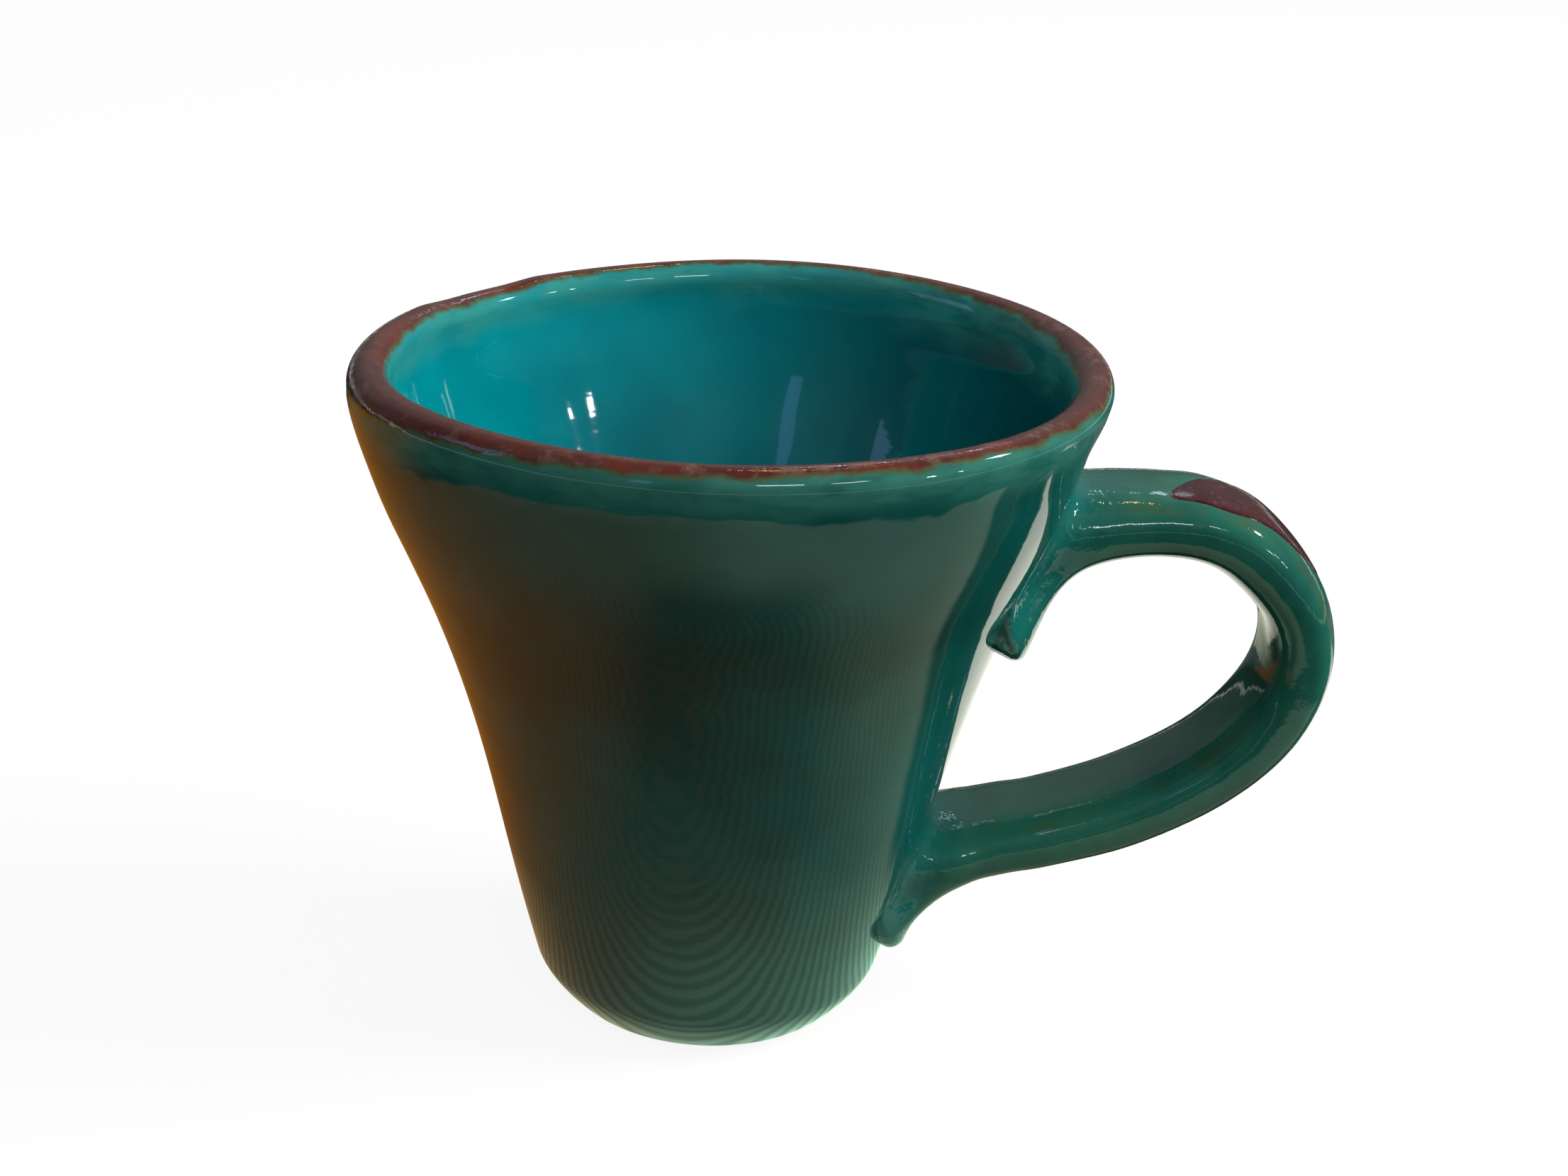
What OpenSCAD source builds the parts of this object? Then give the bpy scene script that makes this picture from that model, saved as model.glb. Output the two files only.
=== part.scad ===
// A flared, glazed earthenware mug with a pulled strap handle, in millimetres.
// The origin is the centre of the flat foot. +Z is up and the handle stands out along +X.

/* [Cup] */
// Height of the clay cup, from the foot to the highest point of the lip
mug_h = 98.3; // [80:0.1:130]
// Diameter of the clay across the lip
rim_d = 102.2; // [96:0.2:124]
// Diameter of the wall where the steeper collar begins
shoulder_d = 91; // [80:0.2:95]
// Diameter that draws the wall's curve out two thirds of the way up
upper_draw_d = 67.8; // [64:0.2:80]
// Diameter that draws the wall's curve out a third of the way up
lower_draw_d = 62.6; // [56:0.1:70]
// Diameter of the wall at the top of the heel
heel_d = 49.8; // [46:0.2:56]
// Diameter of the flat foot
foot_d = 38.8; // [30:0.2:42]
// Height of the bevelled heel
heel_h = 7; // [3:0.5:8]
// Height of the collar, from there up to where the wall stands upright under the lip
collar_h = 18.9; // [12:0.1:22]
// How far the hand-cut lip leans out of level, in degrees
lip_tilt = 1.8; // [0:0.1:4]
// Where the lip is highest, in degrees round the cup from the handle
lip_turn = -35; // [-180:1:180]
// Thickness of the wall and of the lip, measured level
wall_t = 5; // [3.5:0.1:7]
// Thickness of the floor
floor_t = 7; // [4:0.5:10]
// Size of the rounded corner between floor and wall
corner_r = 9; // [4:0.5:14]

/* [Handle] */
// How far the strap's centre line stands out from the wall
handle_reach = 42.5; // [34:0.5:52]
// Width of the strap across its flat faces
strap_w = 19; // [14:0.5:24]
// Thickness of the strap
strap_t = 8.6; // [6:0.2:11]

/* [Slip and glaze] */
// Thickness of the slip that lutes the handle to the wall
joint_slip_t = 0.8; // [0.5:0.1:1.5]
// How far that slip squeezes out round each root of the handle
bead_w = 1; // [0.6:0.1:2]
// Thickness of every glaze and slip coat
glaze_t = 0.4; // [0.2:0.05:0.5]
// Height of the bare clay left above the foot
bare_h = 1; // [0.5:0.1:2.5]
// Length of the brown patch on the strap
patch_l = 32; // [16:0.5:36]
// Width of the brown patch on the strap
patch_w = 14; // [6:0.5:15]

/* [Hidden] */
$fn = 96;
lip_r = wall_t / 2;
lip_x = rim_d / 2 - lip_r;
// The level of the lip's centre line at the cup's axis, and the rise of its plane across a radius
lip_z = mug_h - lip_r - lip_x * sin(lip_tilt);
lip_lean = (rim_d / 2 + glaze_t) * tan(lip_tilt);
// The wall stands upright from the lip's lowest point up, and its blank is cut off at the lip
rim_z = lip_z - lip_lean;
blank_z = lip_z + lip_lean + lip_r;
// How far the lip's rounding stands in from the wall's faces, whose cut is slightly oval
lip_inset = rim_d / 2 * (1 / cos(lip_tilt) - 1) + glaze_t / 10;
shoulder_z = rim_z - collar_h;
corner_z = floor_t + corner_r;
// Steps along each stretch of the outlines
heel_steps = 6;
wall_steps = 14;
collar_steps = 5;
lip_steps = 12;
corner_steps = 6;
// Sides of the strap's section, and rings from one station to the next
strap_sides = 24;
station_rings = 3;
// Squareness of the strap's section: 2 is an ellipse, and more is squarer
strap_square = 3.2;
// How quickly the heel's bevel and the collar's curve turn: 1 is straight, and more is rounder
heel_power = 1.6;
collar_power = 1.3;
// Stations down the handle, from the upper root to the lower one. Each gives how far the centre
// stands out from the wall as a share of handle_reach, its height as a share of mug_h, the lean
// in degrees of the line from the inner to the outer face, and the shares of strap_t and strap_w.
// The first and the last are sunk in the wall, which trims them.
station_shares = [
    [-0.067, 0.725, 71, 3.2, 2],
    [0.011, 0.724, 69, 3.15, 1.94],
    [0.045, 0.717, 72, 3, 1.68],
    [0.06, 0.732, 68, 2.46, 1.36],
    [0.087, 0.752, 65, 1.86, 1.15],
    [0.143, 0.768, 65, 1.39, 1.05],
    [0.234, 0.779, 70, 1.09, 1.01],
    [0.369, 0.781, 82, 0.98, 1],
    [0.649, 0.744, 55, 1.04, 1],
    [0.89, 0.665, 26, 1, 1],
    [1.01, 0.574, -4, 1.02, 1],
    [1.005, 0.482, -32, 1.05, 1],
    [0.881, 0.398, -50, 1.01, 1],
    [0.655, 0.329, -65, 1, 1],
    [0.415, 0.288, -74, 0.94, 1],
    [0.278, 0.273, -82, 0.95, 1.01],
    [0.171, 0.258, -88, 1, 1.07],
    [0.099, 0.239, -97, 1.5, 1.21],
    [0.056, 0.216, -99, 2.34, 1.43],
    [0.012, 0.222, -104, 2.44, 1.62],
    [-0.062, 0.223, -105, 2.43, 1.66]];
last_station = len(station_shares) - 1;
// Stations at which the two roots leave the wall
upper_root_station = 1;
lower_root_station = last_station - 1;
// The station whose outer face carries the middle of the patch, and the rings inside its outline
patch_station = 7.5;
patch_rings = 4;
// How far out from the wall, as a share of handle_reach, the roots stop wrapping round the cup
wrap_share = 0.25;

// A cubic through four drawing values, at t from 0 to 1
function cubic(a, b, c, d, t) =
    a * pow(1 - t, 3) + 3 * b * t * pow(1 - t, 2) + 3 * c * t * t * (1 - t) + d * pow(t, 3);
// A quadratic through three drawing points
function quadratic(a, b, c, t) = a * pow(1 - t, 2) + 2 * b * t * (1 - t) + c * t * t;
// A smooth curve through b and c, with a and d as its neighbours
function through(a, b, c, d, t) =
    b + (c - a) * t / 2 + (2 * a - 5 * b + 4 * c - d) * t * t / 2 + (3 * b - a - 3 * c + d) * pow(t, 3) / 2;

// Slope of the wall at the top of the heel
heel_slope = 3 * (lower_draw_d - heel_d) / 2 / (shoulder_z - heel_h);
// How far the heel draws in below the wall's line
heel_round = heel_d / 2 - heel_slope * heel_h - foot_d / 2;
function heel_r(z) =
    heel_d / 2 - heel_slope * (heel_h - z)
    - heel_round * pow(1 - z / heel_h, heel_power);
function draw_r(z) =
    cubic(heel_d, lower_draw_d, upper_draw_d, shoulder_d, (z - heel_h) / (shoulder_z - heel_h)) / 2;
function collar_r(z) =
    rim_d / 2 - (rim_d - shoulder_d) / 2 * pow((rim_z - z) / collar_h, collar_power);
// Radius of the clay's outer face at any height
function wall_r(z) =
    z < heel_h ? heel_r(z) : z < shoulder_z ? draw_r(z) : z < rim_z ? collar_r(z) : rim_d / 2;

// Heights from one level to another, in even steps, both ends given
function levels(low, high, steps) = [for (i = [0:steps]) low + (high - low) * i / steps];
// Heights from a level in the heel up to the blank's top, each given once
function outer_levels(low) = concat(
    levels(low, heel_h, heel_steps),
    [for (i = [1:wall_steps]) heel_h + (shoulder_z - heel_h) * i / wall_steps],
    [for (i = [1:collar_steps]) shoulder_z + collar_h * i / collar_steps],
    [blank_z]);
// The outer face from a low level up to the blank's top, moved out by the thickness of a coat
function outer_line(low, coat) = [for (z = outer_levels(low)) [wall_r(z) + coat, z]];
// The rounded lip over its own plane, from its outside over the top to its inside
function lip_line(coat) = [for (i = [0:lip_steps]) let (a = 180 * i / lip_steps)
    [lip_x, 0] + (lip_r - lip_inset + coat) * [cos(a), sin(a)]];
// The inner face from the blank's top down to the middle of the floor, moved in by a coat
function inner_line(coat) = let (
        corner_foot = [wall_r(floor_t) - wall_t - coat, floor_t + coat],
        collar = concat([blank_z], levels(rim_z, shoulder_z, collar_steps)),
        straight = levels(shoulder_z, corner_z, wall_steps))
    concat(
        [for (z = collar) [wall_r(z) - wall_t - coat, z]],
        [for (i = [1:wall_steps]) [wall_r(straight[i]) - wall_t - coat, straight[i]]],
        [for (i = [1:corner_steps]) quadratic(
            [wall_r(corner_z) - wall_t - coat, corner_z], corner_foot,
            corner_foot - [corner_r, 0], i / corner_steps)],
        [[0, floor_t + coat]]);
function reversed(list) = [for (i = [len(list) - 1:-1:0]) list[i]];

// Everything inside the wall's outer face when that is moved out by a coat
module cup_blank(coat) {
    rotate_extrude()
        polygon(concat([[0, 0]], outer_line(0, coat), [[0, blank_z]]));
}

// Lays what is drawn over a level plane on the plane of the lip
module at_lip() {
    translate([0, 0, lip_z])
        rotate([0, 0, lip_turn])
            rotate([0, -lip_tilt, 0])
                children();
}

// The space over the plane of the lip, which cuts the blanks of the wall and its coats
module above_lip() {
    at_lip()
        translate([-rim_d, -rim_d, 0])
            cube([2 * rim_d, 2 * rim_d, mug_h]);
}

// A coat over the outer face, from one level up to the blank's top
module wall_coat(low, coat) {
    rotate_extrude()
        polygon(concat(outer_line(low, 0), reversed(outer_line(low, coat))));
}

// The outer edge, the inner edge and the half width at a station, all grown by a coat, and how
// closely the section wraps round the cup there, from 0 to 1. Where it does, it faces away from
// the wall, so the coat moves it out as well.
function station(i, coat) = let (
        s = station_shares[i],
        z = s[1] * mug_h,
        half = (s[3] * strap_t / 2 + coat) * [cos(s[2]), 0, sin(s[2])],
        wrap = min(1, max(0, 1 - s[0] / wrap_share)),
        centre = [wall_r(z) + s[0] * handle_reach + wrap * coat, 0, z])
    [centre + half, centre - half, [0, s[4] * strap_w / 2 + coat, 0], [wrap, 0, 0]];
// A point moved in by as much as the wall falls back at its distance from the handle's plane
function wrapped(p, wrap) = let (r = wall_r(p[2]))
    p - [wrap * (r - sqrt(max(0, r * r - p[1] * p[1]))), 0, 0];
// The same at any place along the strap, given in stations
function strap_at(s, coat) = let (i = floor(s)) through(
    station(max(i - 1, upper_root_station), coat), station(i, coat), station(i + 1, coat),
    station(min(i + 2, lower_root_station), coat), s - i);
// Rings of the whole handle. The sunk end stations add one ring each.
function strap_rings(coat) = concat(
    [station(0, coat)],
    [for (i = [upper_root_station:lower_root_station - 1]) for (k = [0:station_rings - 1])
        strap_at(i + k / station_rings, coat)],
    [station(lower_root_station, coat), station(last_station, coat)]);
function squared(v) = sign(v) * pow(abs(v), 2 / strap_square);
// The points of one ring of the strap
function ring_points(edges) = [for (k = [0:strap_sides - 1]) let (a = 360 * k / strap_sides)
    wrapped((edges[0] + edges[1]) / 2 + (edges[0] - edges[1]) / 2 * squared(sin(a))
        + edges[2] * squared(cos(a)), edges[3][0])];
// A point of the strap's outer face, so far along it in stations and so far across it
function face_point(s, across, coat) = let (
        edges = strap_at(s, coat),
        rise = pow(1 - pow(abs(across) / edges[2][1], strap_square), 1 / strap_square))
    (edges[0] + edges[1]) / 2 + rise * (edges[0] - edges[1]) / 2 + [0, across, 0];
// Triangles that join ring i to ring i + 1 when each ring starts at a multiple of the sides
function skin_faces(i, start, flip) = [for (k = [0:strap_sides - 1]) let (
        a = start + i * strap_sides + k,
        b = start + i * strap_sides + (k + 1) % strap_sides,
        c = b + strap_sides,
        d = a + strap_sides)
    each flip ? [[a, d, c], [a, c, b]] : [[a, b, c], [a, c, d]]];

// The handle's solid, before the wall trims its ends
module strap() {
    rings = strap_rings(0);
    count = len(rings);
    faces = concat(
        [for (i = [0:count - 2]) each skin_faces(i, 0, false)],
        [[for (k = [strap_sides - 1:-1:0]) k]],
        [[for (k = [0:strap_sides - 1]) (count - 1) * strap_sides + k]]);
    polyhedron(points = [for (r = rings) each ring_points(r)], faces = faces, convexity = 6);
}

// A coat all along the handle, open at both sunk ends
module strap_coat(coat) {
    outer = strap_rings(coat);
    inner = strap_rings(0);
    count = len(outer);
    start = count * strap_sides;
    points = concat([for (r = outer) each ring_points(r)], [for (r = inner) each ring_points(r)]);
    near = [for (k = [0:strap_sides - 1]) let (b = (k + 1) % strap_sides)
        each [[k, start + b, b], [k, start + k, start + b]]];
    far = [for (k = [0:strap_sides - 1]) let (
            a = start - strap_sides + k,
            b = start - strap_sides + (k + 1) % strap_sides)
        each [[a, b, b + start], [a, b + start, a + start]]];
    faces = concat(
        [for (i = [0:count - 2]) each skin_faces(i, 0, false)],
        [for (i = [0:count - 2]) each skin_faces(i, start, true)],
        near, far);
    polyhedron(points = points, faces = faces, convexity = 8);
}

// One face of the patch: rings of points inside its oval outline, and its middle
function patch_points(coat) = let (
        station_gap = norm(face_point(patch_station + 1, 0, 0) - face_point(patch_station, 0, 0)))
    concat(
        [for (j = [patch_rings:-1:1]) for (k = [0:strap_sides - 1]) let (a = 360 * k / strap_sides)
            face_point(
                patch_station + j / patch_rings * patch_l / 2 / station_gap * cos(a),
                j / patch_rings * patch_w / 2 * sin(a),
                coat)],
        [face_point(patch_station, 0, coat)]);

// The outline that a root's slip has on the wall, as a prism along X
module root_prism(i) {
    edges = station(i, bead_w);
    centre = (edges[0] + edges[1]) / 2;
    half = (edges[0] - edges[1]) / 2;
    translate([0, 0, centre[2]])
        rotate([90, 0, 90])
            linear_extrude(rim_d)
                polygon([for (k = [0:strap_sides - 1]) let (a = 360 * k / strap_sides)
                    [edges[2][1] * squared(cos(a)), half[2] * squared(sin(a))]]);
}

module clay_cup() {
    color("#8a4b33") {
        difference() {
            rotate_extrude()
                polygon(concat([[0, 0]], outer_line(0, 0), inner_line(0)));
            above_lip();
        }
        at_lip()
            rotate_extrude()
                polygon(lip_line(0));
    }
}

module clay_handle() {
    color("#8a4b33")
        difference() {
            strap();
            cup_blank(joint_slip_t);
        }
}

module upper_joint_slip() {
    color("#2c7563")
        intersection() {
            wall_coat(heel_h, joint_slip_t);
            root_prism(upper_root_station);
        }
}

module lower_joint_slip() {
    color("#2c7563")
        intersection() {
            wall_coat(heel_h, joint_slip_t);
            root_prism(lower_root_station);
        }
}

module inside_glaze() {
    color("#0a8a92")
        difference() {
            rotate_extrude()
                polygon(concat(inner_line(0), reversed(inner_line(glaze_t))));
            above_lip();
        }
}

module outside_glaze() {
    color("#2d6b5c")
        difference() {
            wall_coat(bare_h, glaze_t);
            above_lip();
            root_prism(upper_root_station);
            root_prism(lower_root_station);
        }
}

module lip_band() {
    color("#5f3436")
        at_lip()
            rotate_extrude()
                polygon(concat(lip_line(0), reversed(lip_line(glaze_t))));
}

module handle_glaze() {
    color("#2d6b5c")
        difference() {
            strap_coat(glaze_t);
            cup_blank(joint_slip_t);
        }
}

module handle_patch() {
    outer = patch_points(2 * glaze_t);
    start = len(outer);
    middle = start - 1;
    inmost = (patch_rings - 1) * strap_sides;
    sides = [for (k = [0:strap_sides - 1]) [k, (k + 1) % strap_sides]];
    color("#6a3237")
        polyhedron(
            points = concat(outer, patch_points(glaze_t)),
            faces = concat(
                [for (i = [0:patch_rings - 2]) each skin_faces(i, 0, false)],
                [for (i = [0:patch_rings - 2]) each skin_faces(i, start, true)],
                [for (s = sides) [inmost + s[0], inmost + s[1], middle]],
                [for (s = sides) [start + inmost + s[1], start + inmost + s[0], start + middle]],
                [for (s = sides) each [[s[0], start + s[0], start + s[1]], [s[0], start + s[1], s[1]]]]),
            convexity = 2);
}

clay_cup();
clay_handle();
upper_joint_slip();
lower_joint_slip();
inside_glaze();
outside_glaze();
lip_band();
handle_glaze();
handle_patch();
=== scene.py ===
# A glazed earthenware mug with a pulled strap handle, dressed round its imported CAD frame.
# Lengths are metres. The mug stands on z = 0 and its handle points along +X.
from functools import partial
from math import atan2, cos, hypot, pi, radians, sin, tan

import bmesh
import bpy
from bpy.props import FloatProperty, FloatVectorProperty, IntProperty, PointerProperty
from mathutils import Matrix, Vector, noise


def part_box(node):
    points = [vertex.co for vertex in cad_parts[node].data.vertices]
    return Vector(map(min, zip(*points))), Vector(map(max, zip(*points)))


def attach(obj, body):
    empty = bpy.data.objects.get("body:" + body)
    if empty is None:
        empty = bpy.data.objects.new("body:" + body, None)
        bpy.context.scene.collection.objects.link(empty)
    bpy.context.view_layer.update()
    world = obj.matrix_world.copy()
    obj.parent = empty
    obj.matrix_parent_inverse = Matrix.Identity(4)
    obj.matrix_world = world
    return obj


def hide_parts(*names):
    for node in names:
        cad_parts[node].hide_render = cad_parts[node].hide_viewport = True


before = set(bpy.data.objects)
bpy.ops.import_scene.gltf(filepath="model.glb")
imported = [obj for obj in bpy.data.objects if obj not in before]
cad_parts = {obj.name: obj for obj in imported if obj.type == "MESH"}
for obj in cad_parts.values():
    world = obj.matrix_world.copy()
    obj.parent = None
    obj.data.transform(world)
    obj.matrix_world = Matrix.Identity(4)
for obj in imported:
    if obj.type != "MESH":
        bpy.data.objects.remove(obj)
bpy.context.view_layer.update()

bl_info = {
    "name": "Glazed Strap-Handle Mug",
    "version": (1, 0, 0),
    "blender": (4, 5, 0),
    "location": "View3D > Sidebar > Mug",
    "description": "Models and glazes a thrown earthenware mug with a pulled handle",
    "category": "Add Mesh",
}

MM = 0.001
BODY = "root"
WHITE = (1, 1, 1)
# Width of the camera's film, in millimetres
SENSOR_W = 36


def rgb(hex_colour):
    """Linear colour of an sRGB hex value."""
    parts = [int(hex_colour[i:i + 2], 16) / 255 for i in (1, 3, 5)]
    return tuple(c / 12.92 if c <= 0.04045 else ((c + 0.055) / 1.055) ** 2.4 for c in parts)


def length(name, description, default):
    return FloatProperty(name=name, description=description, default=default, min=0.0, unit="LENGTH",
                         precision=5)


def share(name, description, default):
    return FloatProperty(name=name, description=description, default=default)


def angle(name, description, degrees):
    return FloatProperty(name=name, description=description, default=radians(degrees), subtype="ANGLE")


def colour(name, description, hex_colour):
    return FloatVectorProperty(name=name, description=description, default=rgb(hex_colour),
                               size=3, min=0.0, max=1.0, subtype="COLOR")


# The frame's own clay and glaze give the sizes that the coats have to meet
CLAY_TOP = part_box("clay_cup")[1]
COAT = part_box("outside_glaze")[1][1] - CLAY_TOP[1]


class CupSizes(bpy.types.PropertyGroup):
    """Sizes of the thrown cup."""
    height: length("Height", "Height of the clay, foot to the lip's highest point", CLAY_TOP[2])
    rim_r: length("Rim radius", "Radius of the clay across the lip", CLAY_TOP[1])
    shoulder_r: length("Shoulder radius", "Radius where the collar begins", 45.5 * MM)
    upper_draw_r: length("Upper draw radius", "Pulls the wall's curve out above its middle", 33.9 * MM)
    lower_draw_r: length("Lower draw radius", "Pulls the wall's curve out below its middle", 31.3 * MM)
    heel_r: length("Heel radius", "Radius at the top of the heel", 24.9 * MM)
    foot_r: length("Foot radius", "Radius of the flat foot", 19.4 * MM)
    heel_h: length("Heel height", "Height of the bevelled heel", 7 * MM)
    collar_h: length("Collar height", "Height of the collar, up to where the wall is upright", 18.9 * MM)
    wall_t: length("Wall", "Thickness of the wall and the lip", 5 * MM)
    floor_t: length("Floor", "Thickness of the floor", 7 * MM)
    corner_r: length("Corner", "Rounding between wall and floor inside", 9 * MM)
    coat_t: length("Glaze", "Thickness of the glaze coats", COAT)
    bare_h: length("Bare foot", "Height of clay left bare above the foot", 1 * MM)
    heel_power: share("Heel curve", "1 is a straight bevel, more is rounder", 1.6)
    collar_power: share("Collar curve", "1 is a straight collar, more is rounder", 1.3)
    lip_tilt: angle("Lip tilt", "How far the hand-cut lip leans out of level", 1.8)
    lip_turn: angle("Lip turn", "Where the lip is highest, round the cup from the handle", -35)
    lip_wave: length("Lip wave", "How far the lip rises and falls twice on its way round", 0.45 * MM)
    wave_turn: angle("Wave turn", "Where that wave is highest, round the cup from the handle", 61)
    nick_turn: angle("Nick", "Where the lip dips a little, round the cup from the handle", 141)
    dent: length("Dent", "How far the wall gave way where the handle was pressed on", 1.8 * MM)
    segments: IntProperty(name="Segments", description="Steps round the cup", default=288, min=48)


class HandleSizes(bpy.types.PropertyGroup):
    """Sizes of the pulled handle and its two roots."""
    reach: length("Reach", "How far the strap stands out from the wall", 42.5 * MM)
    width: length("Width", "Width of the strap under its glaze", 19 * MM)
    thickness: length("Thickness", "Thickness of the strap under its glaze", 8.6 * MM)
    square: share("Squareness", "2 is an oval section, more is squarer", 2.7)
    sides: IntProperty(name="Sides", description="Steps round the strap", default=96, min=24)
    rings: IntProperty(name="Rings", description="Steps from one station to the next", default=7, min=2)
    contact_h: length("Contact", "Height of the root's thin edge over the wall", 0.04 * MM)
    edge_r: length("Edge radius", "Rounding of the root's edge", 0.8 * MM)
    patch_l: length("Patch length", "Length of the brown patch", 32 * MM)
    patch_w: length("Patch width", "Width of the brown patch", 12 * MM)


class GlazeColours(bpy.types.PropertyGroup):
    """Colours of the fired clay, slip and glaze, with painted shade inside and a partly painted
    reflection below the lip.
    """
    outside: colour("Outside glaze", "Deep green outside", "#0c5c55")
    outside_deep: colour("Deep outside glaze", "Where the outside glaze pools", "#08423d")
    handle: colour("Handle glaze", "Green of the handle, dipped thinner than the cup", "#27705c")
    root: colour("Root glaze", "Teal of the glaze pooled in the handle's roots", "#0b6763")
    handle_deep: colour("Deep handle glaze", "Where the handle's glaze pools", "#115348")
    inside: colour("Inside glaze", "Turquoise inside", "#008c94")
    inside_deep: colour("Deep inside glaze", "Where the inside glaze pools", "#00727b")
    # Mint of thinned glaze; below the lip it is also a painted reflection of the bright ceiling
    thin: colour("Thin glaze", "Mint where the outside glaze thins under the lip", "#3c8070")
    # Painted shade: the inside towards the handle, darkened where the cup's own rim shades it
    inside_painted_shade: colour("Inside pool", "Where the poured inside glaze settled thickest", "#013f42")
    # Partly thinned glaze, partly a painted reflection of the bright ceiling in the curve under the lip
    thin_inside_and_sheen: colour("Thin inside glaze", "Mint where the inside glaze thins under the lip", "#3a968c")
    breaking: colour("Breaking glaze", "Olive where the glaze breaks over the slip", "#4d5a34")
    slip: colour("Iron slip", "Burgundy brown of the lip", "#56251f")
    patch: colour("Patch slip", "Wine brown of the patch on the handle", "#3f1519")
    slip_dusty: colour("Dusty slip", "Paler, drier blotches of the slip", "#6d4a40")
    slip_red: colour("Red slip", "Redder streaks of the slip", "#6e2b1d")
    clay: colour("Clay", "Bare fired clay", "#8a5a3c")
    clay_dark: colour("Scorched clay", "Clay darkened beside the glaze", "#4c2c1e")


class StageSizes(bpy.types.PropertyGroup):
    """The camera and the floor."""
    image_w: IntProperty(name="Image width", description="Pixels across the picture", default=2212)
    focal_px: share("Focal length", "In pixels of the picture's width", 3500)
    distance: length("Distance", "From the cup's axis to the camera, level", 320.03 * MM)
    camera_z: length("Camera height", "Height of the camera over the foot", 196.13 * MM)
    pitch: angle("Pitch", "Camera's tilt down", 22.59)
    yaw: angle("Yaw", "Camera's turn to the right", 1.52)
    roll: angle("Roll", "Camera's roll", 3.157)
    floor_r: length("Floor radius", "Radius of the pale floor", 3.0)


# How finely each stretch of the cup's outline is stepped
HEEL_STEPS = 10
WALL_STEPS = 48
COLLAR_STEPS = 20
RIM_STEPS = 3
LIP_STEPS = 36
CORNER_STEPS = 16
# A narrow row beside each seam between coats keeps the shading unbroken across it
SEAM_GUARD = 0.05 * MM
# How far up and down from the shoulder its crease is eased
SHOULDER_BLEND = 8 * MM
# How far the lip band runs down past the lip's rounding on both sides
BAND_TAIL = 1 * MM
# Vertices of a spun outline that are nearer than this are one
MERGE = 0.002 * MM

# What the potter's hand did: from where to where up the cup the lip's lean grows, its ripple, how
# deep its nick is and how narrow (nearer to 1 is narrower), and the lumps of the wall, so long,
# so deep, and none below their start
LEAN_FROM = 0.82
LEAN_FULL = 0.96
RIPPLE = 0.1 * MM
NICK = 0.5 * MM
NICK_NARROW = 0.97
LUMP = 24 * MM
LUMPS_ROUND = 1.3
LUMP_DEPTH = 0.1 * MM
LUMP_START = 12 * MM

# Stations of the strap between its roots, as in the frame's own solids: how far the centre stands
# out from the wall as a share of the reach, its height as a share of the cup's, the lean in
# degrees of the line from inner to outer face, and shares of the thickness and the width
STATION_SHARES = (
    (0.087, 0.752, 65, 1.86, 1.15),
    (0.163, 0.772, 64, 1.33, 1.05),
    (0.289, 0.781, 71, 1.04, 1.01),
    (0.458, 0.776, 76, 1, 1),
    (0.649, 0.744, 55, 1.04, 1),
    (0.890, 0.665, 26, 1, 1),
    (1.010, 0.574, -4, 1.02, 1),
    (1.005, 0.482, -32, 1.05, 1),
    (0.881, 0.398, -50, 1.01, 1),
    (0.655, 0.329, -65, 1, 1),
    (0.415, 0.288, -74, 0.94, 1),
    (0.278, 0.273, -82, 0.95, 1.01),
    (0.171, 0.258, -88, 1.0, 1.07),
    (0.099, 0.239, -97, 1.5, 1.21),
)
FIRST_STATION = 1
LAST_STATION = len(STATION_SHARES) - 2
# The middle of the brown patch, in stations
PATCH_STATION = 3.4


def smooth(value, low, high):
    """0 below low, 1 above high, and an even ramp between."""
    t = min(1, max(0, (value - low) / (high - low)))
    return t * t * (3 - 2 * t)


def cubic(a, b, c, d, t):
    """A curve from a to d that leaves towards b and comes in from c."""
    return a * (1 - t) ** 3 + 3 * b * t * (1 - t) ** 2 + 3 * c * t * t * (1 - t) + d * t ** 3


def through(a, b, c, d, t):
    """A smooth curve through b and c, with a and d as its neighbours."""
    return (b + (c - a) * (t / 2) + (2 * a - 5 * b + 4 * c - d) * (t * t / 2)
            + (3 * b - a - 3 * c + d) * (t ** 3 / 2))


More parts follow.
